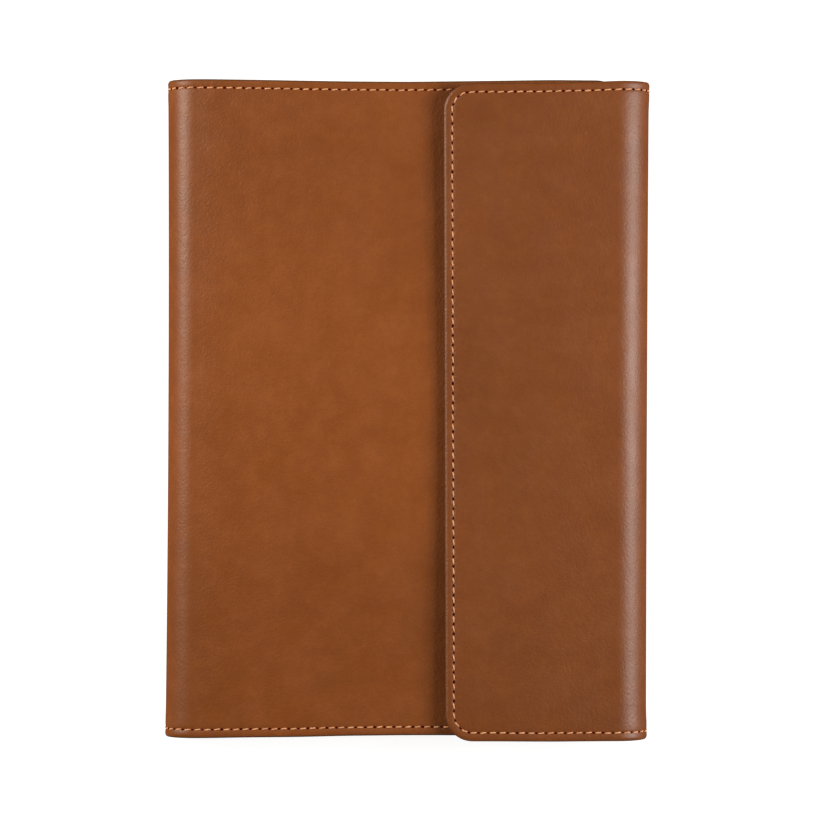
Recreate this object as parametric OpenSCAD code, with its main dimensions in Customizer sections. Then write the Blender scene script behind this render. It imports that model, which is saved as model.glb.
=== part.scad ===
// Leather cover for an A5 notebook, closed, lying on its back cover.
// The spine is at -X, the fold and its flap are at +X, and the head of the book is at +Y.
// The origin is at the centre of the face that it lies on. Sizes are in millimetres.

/* [Cover] */
// Height of the cover, from tail to head
cover_h = 230; // [222:1:250]
// Width of the closed cover, over the spine and the fold
closed_w = 168; // [168:1:180]
// How far the flap reaches over the front, from the outside of the fold
flap_w = 70.9; // [50:0.1:90]
// Distance from the outside of the fold to the front cover's free edge
front_inset = 8.5; // [7.5:0.1:12]
// Radius of the corners of the flap and of the front cover
corner_r = 9.5; // [6:0.5:14]
// Thickness of the outer leather
leather_t = 1.8; // [1.2:0.1:2]
// Thickness of the suede lining
lining_t = 0.6; // [0.4:0.1:0.8]
// Air between the front cover and the closed flap
flap_gap = 0.6; // [0.3:0.1:1.5]

/* [Inside] */
// Thickness of the stiffener boards
board_t = 0.6; // [0.4:0.1:1]
// Thickness of the sleeves that hold the notebook's covers
sleeve_t = 1; // [0.8:0.1:1.4]
// Where the sleeves' open edges are, across the cover
sleeve_x = -10; // [-40:1:20]
// Width of the notebook
book_w = 148; // [140:1:148]
// Height of the notebook
book_h = 210; // [190:1:212]
// Thickness of all the notebook's pages
pages_t = 9; // [5:0.5:11]
// Thickness of each card cover of the notebook
card_t = 0.7; // [0.4:0.1:1]
// Radius of the notebook's corners
book_corner_r = 5; // [2:0.5:8]

/* [Closure] */
// Radius of the magnet in the flap and of its steel keeper in the front cover
magnet_r = 7.5; // [5:0.5:9]
// Thickness of the magnet
magnet_t = 1; // [0.5:0.1:1.2]
// Thickness of the steel keeper
keeper_t = 0.8; // [0.5:0.1:1]
// Where the magnet's centre is, across the cover
magnet_x = 33; // [24:1:50]

/* [Stitching] */
// Distance from an edge to the middle of its stitch line
stitch_margin = 3; // [2.5:0.1:4]
// Width of the thread
thread_w = 0.8; // [0.5:0.1:1]
// How deep the thread lies in its groove
thread_t = 0.3; // [0.2:0.05:0.4]

/* [Hidden] */
$fn = 96;

// Clearances: pages to sleeve, round a magnet, at a hinge line, and round a notebook cover in its sleeve
page_gap = 0.3;
magnet_gap = 0.1;
hinge_gap = 0.3;
pocket_gap = 0.5;
// Depths below the outer surface of a cover, from the leather's inside to the pages
d_leather = leather_t;
d_lining = d_leather + lining_t;
d_board = d_leather + board_t;
d_raised = d_board + lining_t;
d_card = d_raised + card_t;
d_sleeve = d_card + sleeve_t;
d_pages = d_sleeve + page_gap;
// The spine and the fold are half-round
spine_r = d_pages + pages_t / 2;
fold_r = spine_r + (flap_gap + d_lining) / 2;
spine_x = spine_r - closed_w / 2;
fold_x = closed_w / 2 - fold_r;
spine_c = [spine_x, spine_r];
fold_c = [fold_x, fold_r];
spine_gap_deg = hinge_gap / 2 / spine_r * 180 / PI;
fold_gap_deg = hinge_gap / 2 / fold_r * 180 / PI;
// Free edges
front_edge = closed_w / 2 - front_inset;
flap_edge = closed_w / 2 - flap_w;
// The notebook, with a cloth tape on its back edge
tape_t = 0.5;
book_x = 7.5 - closed_w / 2;
book_edge = book_x + book_w;
// The stiffener boards, and the step where the lining rises over them
board_x = spine_x + 2.5;
board_edge = fold_x - 2;
board_margin = 6;
// Longer than anything in the model
far = 3 * closed_w;

leather_color = [0.55, 0.30, 0.15];
sleeve_color = [0.50, 0.27, 0.14];
lining_color = [0.36, 0.21, 0.12];
thread_color = [0.80, 0.60, 0.42];
board_color = [0.62, 0.55, 0.45];
steel_color = [0.70, 0.70, 0.72];
card_color = [0.16, 0.13, 0.12];
paper_color = [0.94, 0.91, 0.83];
tape_color = [0.24, 0.15, 0.11];

function towards(angle) = [cos(angle), sin(angle)];

// Extrudes an X-Z profile along Y, centred on the X-Z plane
module across(width) {
    rotate([90, 0, 0]) linear_extrude(height = width, center = true) children();
}

// Extrudes an X-Y outline through the whole thickness of the model
module column() {
    translate([0, 0, -fold_r]) linear_extrude(height = 4 * fold_r) children();
}

// A slab between two corners, each [x, z], spanning the given height of the book
module slab(low, high, height) {
    across(height) translate(low) square(high - low);
}

// Part of a ring in an X-Z profile
module arc_band(centre, r_in, r_out, from, to) {
    reach = 3 * r_out;
    translate(centre) intersection() {
        difference() {
            circle(r = r_out);
            circle(r = r_in);
        }
        polygon([[0, 0], reach * towards(from), reach * towards((from + to) / 2), reach * towards(to)]);
    }
}

// Layers of the spine, and of the fold, between two depths below the outer surface
module spine_band(d1, d2, from, to) {
    arc_band(spine_c, spine_r - d2, spine_r - d1, from, to);
}
module fold_band(d1, d2, from, to) {
    arc_band(fold_c, fold_r - d2, fold_r - d1, from, to);
}

// Profiles of the five panels between two depths. The hinge lines are halfway up each half of a curve.
module back_profile(d1, d2) {
    spine_band(d1, d2, 225 + spine_gap_deg, 270);
    translate([spine_x, d1]) square([fold_x - spine_x, d2 - d1]);
    fold_band(d1, d2, 270, 315 - fold_gap_deg);
}
module spine_profile(d1, d2) {
    spine_band(d1, d2, 135 + spine_gap_deg, 225 - spine_gap_deg);
}
module front_profile(d1, d2) {
    spine_band(d1, d2, 90, 135 - spine_gap_deg);
    translate([spine_x, 2 * spine_r - d2]) square([front_edge - spine_x, d2 - d1]);
}
module fold_profile(d1, d2) {
    fold_band(d1, d2, fold_gap_deg - 45, 45 - fold_gap_deg);
}
module flap_profile(d1, d2) {
    fold_band(d1, d2, 45 + fold_gap_deg, 90);
    translate([flap_edge, 2 * fold_r - d2]) square([fold_x - flap_edge, d2 - d1]);
}

// Outlines seen from above, drawn in from the edges by inset
module free_edge_plan(x_edge, y_edge, r) {
    translate([x_edge - r - far, -y_edge]) square([far, 2 * y_edge]);
    translate([x_edge - r, r - y_edge]) square([r, 2 * (y_edge - r)]);
    for (side = [-1, 1])
        translate([x_edge - r, side * (y_edge - r)]) circle(r = r);
}
module straight_plan(inset = 0) {
    square([2 * far, cover_h - 2 * inset], center = true);
}
module front_plan(inset = 0) {
    free_edge_plan(front_edge - inset, cover_h / 2 - inset, corner_r - inset);
}
module flap_plan(inset = 0) {
    mirror([1, 0]) free_edge_plan(-flap_edge - inset, cover_h / 2 - inset, corner_r - inset);
}

// The strips that a stitch line covers, seen from above
module straight_stitch_plan() {
    difference() {
        straight_plan(stitch_margin - thread_w / 2);
        straight_plan(stitch_margin + thread_w / 2);
    }
}
module front_stitch_plan() {
    difference() {
        front_plan(stitch_margin - thread_w / 2);
        front_plan(stitch_margin + thread_w / 2);
    }
}
module flap_stitch_plan() {
    difference() {
        flap_plan(stitch_margin - thread_w / 2);
        flap_plan(stitch_margin + thread_w / 2);
    }
}

// Threads: an outer row sunk in the leather, and an inner row sunk in the lining or the sleeve
module front_thread_solid() {
    intersection() {
        union() {
            across(cover_h) front_profile(0, thread_t);
            intersection() {
                across(cover_h) front_profile(d_lining - thread_t, d_lining);
                translate([sleeve_x - far, -far, 0]) cube([far, 2 * far, far]);
            }
            slab([sleeve_x, 2 * spine_r - d_sleeve], [far, 2 * spine_r - d_sleeve + thread_t], cover_h);
        }
        column() front_stitch_plan();
    }
}
module back_thread_solid() {
    intersection() {
        union() {
            across(cover_h) back_profile(0, thread_t);
            difference() {
                across(cover_h) back_profile(d_lining - thread_t, d_lining);
                slab([sleeve_x, 0], [fold_x, d_sleeve], cover_h + 1);
            }
            slab([sleeve_x, d_sleeve - thread_t], [fold_x, d_sleeve], cover_h);
        }
        column() straight_stitch_plan();
    }
}
module spine_thread_solid() {
    intersection() {
        across(cover_h) union() {
            spine_profile(0, thread_t);
            spine_profile(d_lining - thread_t, d_lining);
        }
        column() straight_stitch_plan();
    }
}
module fold_thread_solid() {
    intersection() {
        across(cover_h) union() {
            fold_profile(0, thread_t);
            fold_profile(d_lining - thread_t, d_lining);
        }
        column() straight_stitch_plan();
    }
}
module flap_thread_solid() {
    intersection() {
        across(cover_h) union() {
            flap_profile(0, thread_t);
            flap_profile(d_lining - thread_t, d_lining);
        }
        column() flap_stitch_plan();
    }
}

// A disc lying flat at the magnet's place, from height z up
module disc(z, r, t) {
    translate([magnet_x, 0, z]) cylinder(r = r, h = t);
}

// Turns a layer of the back cover over, to lie in the front cover
module to_front() {
    translate([0, 0, 2 * spine_r]) mirror([0, 0, 1]) children();
}

// The stiffener board, and the block of lining that covers it
module board_block(grow, d2) {
    height = cover_h - 2 * (board_margin - grow);
    slab([board_x - grow, d_leather], [board_edge + grow, d2], height);
}

// What is cut out of a sleeve: the notebook cover's pocket and the raised lining
module pocket_block() {
    slab([sleeve_x - far, 0], [book_edge + pocket_gap, d_card], book_h + 2 * pocket_gap);
    board_block(lining_t, d_raised);
}

// An outline of the notebook, with its back edge at x
module book_slab(x, z1, z2) {
    intersection() {
        slab([x, z1], [book_edge, z2], book_h);
        column() free_edge_plan(book_edge, book_h / 2, book_corner_r);
    }
}

module front_cover_leather() {
    color(leather_color) difference() {
        intersection() {
            across(cover_h) front_profile(0, d_leather);
            column() front_plan();
        }
        front_thread_solid();
        disc(2 * spine_r - d_leather - 1, magnet_r + magnet_gap, keeper_t + 1);
    }
}
module spine_leather() {
    color(leather_color) difference() {
        across(cover_h) spine_profile(0, d_leather);
        spine_thread_solid();
    }
}
module back_cover_leather() {
    color(leather_color) difference() {
        across(cover_h) back_profile(0, d_leather);
        back_thread_solid();
    }
}
module fold_leather() {
    color(leather_color) difference() {
        across(cover_h) fold_profile(0, d_leather);
        fold_thread_solid();
    }
}
module flap_leather() {
    color(leather_color) difference() {
        intersection() {
            across(cover_h) flap_profile(0, d_leather);
            column() flap_plan();
        }
        flap_thread_solid();
        disc(2 * fold_r - d_leather - 1, magnet_r + magnet_gap, magnet_t + 1);
    }
}

module front_lining() {
    color(lining_color) difference() {
        union() {
            intersection() {
                across(cover_h) front_profile(d_leather, d_lining);
                column() front_plan();
            }
            to_front() board_block(lining_t, d_raised);
        }
        to_front() board_block(0, d_board);
        front_thread_solid();
    }
}
module spine_lining() {
    color(lining_color) difference() {
        across(cover_h) spine_profile(d_leather, d_lining);
        spine_thread_solid();
    }
}
module back_lining() {
    color(lining_color) difference() {
        union() {
            across(cover_h) back_profile(d_leather, d_lining);
            board_block(lining_t, d_raised);
        }
        board_block(0, d_board);
        back_thread_solid();
    }
}
module fold_lining() {
    color(lining_color) difference() {
        across(cover_h) fold_profile(d_leather, d_lining);
        fold_thread_solid();
    }
}
module flap_lining() {
    color(lining_color) difference() {
        intersection() {
            across(cover_h) flap_profile(d_leather, d_lining);
            column() flap_plan();
        }
        flap_thread_solid();
    }
}

module front_stiffener() {
    color(board_color) to_front() board_block(0, d_board);
}
module back_stiffener() {
    color(board_color) board_block(0, d_board);
}

module front_sleeve() {
    color(sleeve_color) difference() {
        intersection() {
            to_front() slab([sleeve_x, d_lining], [front_edge, d_sleeve], cover_h);
            column() front_plan();
        }
        to_front() pocket_block();
        front_thread_solid();
    }
}
module back_sleeve() {
    color(sleeve_color) difference() {
        slab([sleeve_x, d_lining], [fold_x, d_sleeve], cover_h);
        pocket_block();
        back_thread_solid();
    }
}

module flap_magnet() {
    color(steel_color) disc(2 * fold_r - d_leather, magnet_r, magnet_t);
}
module front_keeper() {
    color(steel_color) disc(2 * spine_r - d_leather, magnet_r, keeper_t);
}

module front_thread() {
    color(thread_color) front_thread_solid();
}
module spine_thread() {
    color(thread_color) spine_thread_solid();
}
module back_thread() {
    color(thread_color) back_thread_solid();
}
module fold_thread() {
    color(thread_color) fold_thread_solid();
}
module flap_thread() {
    color(thread_color) flap_thread_solid();
}

module notebook_back_cover() {
    color(card_color) book_slab(book_x, d_raised, d_card);
}
module notebook_front_cover() {
    color(card_color) to_front() book_slab(book_x, d_raised, d_card);
}
module back_pages() {
    color(paper_color) book_slab(book_x + tape_t, d_pages, spine_r);
}
module front_pages() {
    color(paper_color) to_front() book_slab(book_x + tape_t, d_pages, spine_r);
}
module back_spine_tape() {
    color(tape_color) slab([book_x, d_pages], [book_x + tape_t, spine_r], book_h);
}
module front_spine_tape() {
    color(tape_color) to_front() slab([book_x, d_pages], [book_x + tape_t, spine_r], book_h);
}

front_cover_leather();
spine_leather();
back_cover_leather();
fold_leather();
flap_leather();
front_lining();
spine_lining();
back_lining();
fold_lining();
flap_lining();
front_stiffener();
back_stiffener();
front_sleeve();
back_sleeve();
flap_magnet();
front_keeper();
front_thread();
spine_thread();
back_thread();
fold_thread();
flap_thread();
notebook_front_cover();
notebook_back_cover();
front_pages();
back_pages();
front_spine_tape();
back_spine_tape();
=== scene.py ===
import math

import bpy
import numpy as np
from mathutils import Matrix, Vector


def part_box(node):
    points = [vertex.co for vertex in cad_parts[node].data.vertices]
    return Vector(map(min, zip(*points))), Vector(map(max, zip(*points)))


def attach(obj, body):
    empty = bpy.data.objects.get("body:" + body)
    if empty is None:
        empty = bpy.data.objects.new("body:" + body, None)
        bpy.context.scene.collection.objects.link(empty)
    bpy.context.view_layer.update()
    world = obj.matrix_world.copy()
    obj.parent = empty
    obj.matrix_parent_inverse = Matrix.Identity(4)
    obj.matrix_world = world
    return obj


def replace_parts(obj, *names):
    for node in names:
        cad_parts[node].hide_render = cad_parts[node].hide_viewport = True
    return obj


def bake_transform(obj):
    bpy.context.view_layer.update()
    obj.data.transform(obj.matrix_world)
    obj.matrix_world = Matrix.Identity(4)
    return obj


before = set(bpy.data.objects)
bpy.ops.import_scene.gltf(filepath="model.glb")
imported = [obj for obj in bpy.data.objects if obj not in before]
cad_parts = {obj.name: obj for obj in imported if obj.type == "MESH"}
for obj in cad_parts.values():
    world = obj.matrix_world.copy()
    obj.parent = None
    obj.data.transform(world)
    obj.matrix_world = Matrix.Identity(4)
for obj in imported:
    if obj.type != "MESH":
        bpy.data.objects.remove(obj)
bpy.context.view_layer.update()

# Everything is in metres, in the frame of the CAD model: the closed cover lies on its back, with its
# spine at -X, its fold and flap at +X and its head at +Y.
MM = 0.001
RNG = np.random.default_rng(7)


# ---------------------------------------------------------------- sizes taken from the frame

def low(node, axis):
    return float(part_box(node)[0][axis])


def high(node, axis):
    return float(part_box(node)[1][axis])


HALF_H = high("back_cover_leather", 1)
SPINE_R = high("front_cover_leather", 2) / 2
FOLD_R = high("flap_leather", 2) / 2
SPINE_X = low("spine_leather", 0) + SPINE_R
FOLD_X = high("back_sleeve", 0)
FRONT_EDGE = high("front_cover_leather", 0)
FLAP_EDGE = low("flap_leather", 0)
SLEEVE_X = low("back_sleeve", 0)
D_LEATHER = low("back_lining", 2)
D_LINING = low("back_sleeve", 2)
D_RAISED = low("notebook_back_cover", 2)
D_CARD = high("notebook_back_cover", 2)
D_SLEEVE = high("back_sleeve", 2)
SLEEVE_T = D_SLEEVE - D_CARD

# Sizes that only the looks need
CORNER_R = 9.5 * MM
STITCH_IN = 3.0 * MM
PITCH = 3.35 * MM
THREAD_R = 0.28 * MM

# The outer surface is measured by its own length s: 0 is halfway round the spine, s falls over the
# front to its free edge, and rises over the back, round the fold and over the flap.
SPINE_ARC = SPINE_R * math.pi / 2
FOLD_ARC = FOLD_R * math.pi
S_FRONT_EDGE = -(SPINE_ARC + FRONT_EDGE - SPINE_X)
S_BACK_END = SPINE_ARC + FOLD_X - SPINE_X
S_MID_BACK = (SPINE_ARC + S_BACK_END) / 2
S_MID_FOLD = S_BACK_END + FOLD_ARC / 2
S_FLAP = S_BACK_END + FOLD_ARC
S_FLAP_EDGE = S_FLAP + FOLD_X - FLAP_EDGE


def smooth(x, a, b):
    t = np.clip((x - a) / (b - a), 0, 1)
    return t * t * (3 - 2 * t)


def section(s):
    """The outer surface in the X-Z plane at length s: x, z, and the outward normal's x and z."""
    s = np.asarray(s, float)
    spine = math.pi + s / SPINE_R
    fold = (s - S_BACK_END) / FOLD_R - math.pi / 2
    cases = [s < -SPINE_ARC, s < SPINE_ARC, s < S_BACK_END, s < S_FLAP]
    flat = 0 * s
    spine_x, spine_z = SPINE_X + SPINE_R * np.cos(spine), SPINE_R + SPINE_R * np.sin(spine)
    fold_x, fold_z = FOLD_X + FOLD_R * np.cos(fold), FOLD_R + FOLD_R * np.sin(fold)
    front_x, back_x, flap_x = SPINE_X - SPINE_ARC - s, SPINE_X - SPINE_ARC + s, FOLD_X + S_FLAP - s
    x = np.select(cases, [front_x, spine_x, back_x, fold_x], flap_x)
    z = np.select(cases, [flat + 2 * SPINE_R, spine_z, flat, fold_z], flat + 2 * FOLD_R)
    nx = np.select(cases, [flat, np.cos(spine), flat, np.cos(fold)], flat)
    nz = np.select(cases, [flat + 1, np.sin(spine), flat - 1, np.sin(fold)], flat + 1)
    return x, z, nx, nz


# How far the hand-made panels' head and tail edges lie from straight, in mm along Y, at places along s
OUTLINE = [
    # s (mm), head, tail
    (-165, 0.05, 0.20), (-139, 0.27, 0.30), (-121, 0.00, 0.50), (-104, -0.20, 0.65), (-89, -0.39, 0.67),
    (-69, -0.28, 0.50), (-52, -0.03, 0.10), (-34, 0.30, -0.05), (-17, 0.55, -0.35), (0, 0.50, -0.35),
    (15, 0.30, -0.15), (60, 0.00, 0.00), (110, 0.00, 0.00), (162, 0.00, -0.30), (180, -0.15, -1.05),
    (197, -0.33, -1.10), (202, -0.65, -1.08), (220, -1.20, -1.16), (238, -1.38, -1.03), (257, -1.45, -1.00),
]


def outline_shift(s, column):
    """The outline's shift at s, smoothed along it."""
    knots = np.array(OUTLINE)
    fine = np.arange(-175.0, 270.0, 1.0)
    window = np.hanning(15)
    level = np.interp(fine, knots[:, 0], knots[:, column])
    level = np.convolve(np.pad(level, 7, mode="edge"), window / window.sum(), mode="valid")
    return np.interp(s / MM, fine, level) * MM


def warp(s, y):
    """How far the hand-made leather lies from the flat panels: x, y and z."""
    v = y / HALF_H
    ends = smooth(np.abs(v), 0.90, 0.985)
    on_front = smooth(-s, 0.2 * SPINE_ARC, 1.5 * SPINE_ARC)
    on_flap = smooth(s, S_MID_FOLD, S_FLAP + 20 * MM)
    on_spine = 1 - smooth(np.abs(s), 0.3 * SPINE_ARC, 1.5 * SPINE_ARC)
    on_fold = 1 - smooth(np.abs(s - S_MID_FOLD), 0.15 * FOLD_ARC, 0.7 * FOLD_ARC)
    across = np.clip((s - S_FLAP) / (S_FLAP_EDGE - S_FLAP), 0, 1)
    along = SPINE_X - SPINE_ARC - s
    # The spine and the fold flare a little at the head and tail
    dx = 0.5 * MM * v * (1 - 1.7 * on_flap)
    dx = dx - on_spine * MM * (0.20 + 0.54 * v * v + 0.12 * ends)
    dx = dx + on_fold * MM * (0.62 + 0.15 * v * v + 0.30 * ends)
    dy = outline_shift(s, 1) * (1 + v) / 2 + outline_shift(s, 2) * (1 - v) / 2
    # The front is pressed down beside the flap, and swells a little by the spine
    swell = on_front * MM * 0.35 * np.exp(-((along + 52 * MM) / (26 * MM)) ** 2)
    swell = swell - on_front * MM * 0.30 * smooth(along, -20 * MM, 15 * MM)
    swell = swell + on_front * MM * 0.10 * np.sin(y / (31 * MM) + 0.7) * np.sin(along / (24 * MM))
    # It also slopes down into the spine
    slope = 1 - smooth(along, SPINE_X - 6 * MM, SPINE_X + 7 * MM)
    swell = swell - 0.75 * MM * on_front * slope
    # The flap's corners stand up, and its magnet draws its middle down
    lift = on_flap * across * MM * (1.35 * np.abs(v) ** 2.4 - 0.45 * np.exp(-(v / 0.34) ** 2))
    lift = lift + on_flap * MM * 0.42 * np.sin(math.pi * across) * (1 - 0.4 * np.exp(-(v / 0.3) ** 2))
    lift = lift + on_flap * across * MM * 0.08 * np.sin(y / (17 * MM))
    return dx, dy, swell + lift


def place(s, y, depth):
    """Points under the outer surface, as an array with x, y, z last."""
    x, z, nx, nz = section(s)
    dx, dy, dz = warp(s, y)
    return np.stack([x - depth * nx + dx, y + dy, z - depth * nz + dz], axis=-1)


# ---------------------------------------------------------------- meshes

def new_mesh(name, verts, faces, uvs=None, materials=(), slots=None):
    """A smooth mesh object. uvs has (u, v) for each vertex, slots has a material number for each face."""
    mesh = bpy.data.meshes.new(name)
    mesh.from_pydata([tuple(v) for v in verts], [], [tuple(int(i) for i in f) for f in faces])
    if uvs is not None:
        layer = mesh.uv_layers.new(name="hide")
        loops = np.zeros(len(mesh.loops), np.int32)
        mesh.loops.foreach_get("vertex_index", loops)
        layer.data.foreach_set("uv", np.asarray(uvs, np.float32)[loops].ravel())
    for material in materials:
        mesh.materials.append(material)
    if slots is not None:
        mesh.polygons.foreach_set("material_index", np.asarray(slots, np.int32))
    mesh.polygons.foreach_set("use_smooth", np.full(len(mesh.polygons), True))
    mesh.update()
    obj = bpy.data.objects.new(name, mesh)
    bpy.context.collection.objects.link(obj)
    return obj


def sharpen(obj, angle_deg):
    obj.data.set_sharp_from_angle(angle=math.radians(angle_deg))


def edge_steps():
    """Distances from an edge at which a panel has rows: close together over the round and the stitches."""
    over_round = [0, 0.04, 0.13, 0.27, 0.36, 0.48, 0.66, 0.80, 0.92, 1.3, 1.8]
    over_stitches = [2.2, 2.5, 2.75, 3.0, 3.25, 3.5, 3.8, 4.3]
    beyond = [5.0, 6.0, 7.2, 8.4, 9.5, 11.5, 14.0]
    return np.array(over_round + over_stitches + beyond) * MM


def spread(start, end, step):
    """Even steps from start to end, without start."""
    count = max(1, round((end - start) / step))
    return start + (end - start) * np.arange(1, count + 1) / count


def y_rows():
    steps = edge_steps()
    middle = spread(-HALF_H + steps[-1], HALF_H - steps[-1], 3 * MM)
    return np.concatenate([-HALF_H + steps, middle, (HALF_H - steps)[::-1][1:]])


def round_corners(p, y):
    """Bends a grid round the free corners. p is the distance from the free edge. Also gives each point's
    distance from the nearest edge, which follows the corner."""
    dy = HALF_H - np.abs(y)
    near, away = np.minimum(p, dy), np.maximum(p, dy)
    radius = np.maximum(CORNER_R - near, 1e-9)
    turn = math.pi / 4 * np.clip((away - near) / radius, 0, 1)
    angle = math.pi / 4 + np.where(dy <= p, turn, -turn)
    corner = away < CORNER_R
    p2 = np.where(corner, CORNER_R - radius * np.cos(angle), p)
    dy2 = np.where(corner, CORNER_R - radius * np.sin(angle), dy)
    return p2, np.sign(y) * (HALF_H - dy2), near


class Panel:
    """One strip of the cover between two values of s, with a grid of points. free is the s of its free
    edge, or None."""

    def __init__(self, s_rows, free=None):
        self.free = free
        rows = y_rows()
        s, y = np.meshgrid(np.asarray(s_rows), rows, indexing="ij")
        if free is None:
            self.s, self.y, self.near = s, y, HALF_H - np.abs(y)
        else:
            side = np.sign(s_rows[len(s_rows) // 2] - free)
            p, self.y, self.near = round_corners(np.abs(s - free), y)
            self.s = free + side * p


def front_rows():
    steps = edge_steps()
    flat = spread(steps[-1], -SPINE_ARC - S_FRONT_EDGE, 3 * MM)
    arc = spread(-SPINE_ARC, -0.06 * MM, 0.8 * MM)
    return np.concatenate([S_FRONT_EDGE + steps, S_FRONT_EDGE + flat, arc, [0.0]])


def back_left_rows():
    arc = spread(0.06 * MM, SPINE_ARC, 0.8 * MM)
    flat = spread(SPINE_ARC, S_MID_BACK - 0.06 * MM, 3 * MM)
    return np.concatenate([[0.0, 0.06 * MM], arc, flat, [S_MID_BACK]])


def back_right_rows():
    flat = spread(S_MID_BACK + 0.06 * MM, S_BACK_END, 3 * MM)
    arc = spread(S_BACK_END, S_MID_FOLD - 0.06 * MM, 0.8 * MM)
    return np.concatenate([[S_MID_BACK, S_MID_BACK + 0.06 * MM], flat, arc, [S_MID_FOLD]])


def flap_rows():
    steps = edge_steps()
    arc = spread(S_MID_FOLD + 0.06 * MM, S_FLAP, 0.8 * MM)
    flat = spread(S_FLAP, S_FLAP_EDGE - steps[-1], 2.6 * MM)
    border = (S_FLAP_EDGE - steps)[::-1][1:]
    return np.concatenate([[S_MID_FOLD, S_MID_FOLD + 0.06 * MM], arc, flat, border])


PANELS = {
    "front": Panel(front_rows(), free=S_FRONT_EDGE),
    "back_left": Panel(back_left_rows()),
    "back_right": Panel(back_right_rows()),
    "flap": Panel(flap_rows(), free=S_FLAP_EDGE),
}


def quarter_round(near, reach, drop):
    """How far a rounded edge falls at a distance from it."""
    t = np.clip(1 - near / reach, 0, 1)
    return drop * (1 - np.sqrt(np.maximum(1 - t * t, 0)))


def bevel(near):
    """The grain side's edge: a bevel, then a tight round down to the cut edge."""
    slope = np.clip(1 - near / (1.0 * MM), 0, 1)
    return 0.38 * MM * slope + quarter_round(near, 0.40 * MM, 0.34 * MM)


def stitch_bed(near):
    """How deep the stitching draws the leather in."""
    off = (near - STITCH_IN) / MM
    return MM * (0.17 * np.exp(-(off / 0.5) ** 2) + 0.10 * np.exp(-(off / 1.5) ** 2))


def closed_shell(name, s, y, outer, inner, materials, edge_faces=None):
    """A closed solid between two depths over a grid of points."""
    rows, cols = s.shape
    verts = np.concatenate([place(s, y, outer).reshape(-1, 3), place(s, y, inner).reshape(-1, 3)])
    uvs = np.concatenate([np.stack([s, y], -1).reshape(-1, 2)] * 2)
    index = np.arange(rows * cols).reshape(rows, cols)
    under = index + rows * cols
    faces, slots = [], []

    def strip(a, b, c, d, material):
        quads = np.stack([a, b, c, d], -1).reshape(-1, 4)
        faces.append(quads)
        slots.append(np.broadcast_to(material, a.shape).reshape(-1))

    marks = 0 if edge_faces is None else (edge_faces[:-1, :-1] & edge_faces[1:, 1:]).astype(int)
    strip(index[:-1, :-1], index[1:, :-1], index[1:, 1:], index[:-1, 1:], marks)
    strip(under[:-1, :-1], under[:-1, 1:], under[1:, 1:], under[1:, :-1], marks)
    rim = 0 if edge_faces is None else 1
    for j, order in ((0, 1), (cols - 1, -1)):
        a, b, c, d = index[:-1, j], under[:-1, j], under[1:, j], index[1:, j]
        strip(*((a, b, c, d) if order > 0 else (d, c, b, a)), rim)
    for i, order in ((0, -1), (rows - 1, 1)):
        a, b, c, d = index[i, :-1], under[i, :-1], under[i, 1:], index[i, 1:]
        strip(*((a, b, c, d) if order > 0 else (d, c, b, a)), rim)
    faces, slots = np.concatenate(faces), np.concatenate(slots)
    # The grid's handedness differs from panel to panel, so the first face tells which way out is
    a, b, c = verts[faces[0][0]], verts[faces[0][1]], verts[faces[0][2]]
    _, _, nx, nz = section(s[0, 0])
    if np.dot(np.cross(b - a, c - b), np.array([float(nx), 0, float(nz)])) < 0:
        faces = faces[:, ::-1]
    obj = new_mesh(name, verts, faces, uvs, materials, slots)
    sharpen(obj, 50)
    return obj


BLENDS = {
    # panel: (body a, body b, s where the blend starts, s where it ends)
    "front": ("spine", "front", 0.0, -SPINE_ARC),
    "back_left": ("spine", "back", 0.0, SPINE_ARC),
    "back_right": ("back", "fold", S_BACK_END, S_MID_FOLD),
    "flap": ("fold", "flap", S_MID_FOLD, S_FLAP),
}


def bend_with(obj, panel):
    """Bakes the piece's transform into its mesh. The panel's blend is read but not applied."""
    a, b, start, end = BLENDS[panel]
    for s in (start, end):
        x, z, nx, nz = section(s)
    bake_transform(obj)


# ---------------------------------------------------------------- materials

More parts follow.
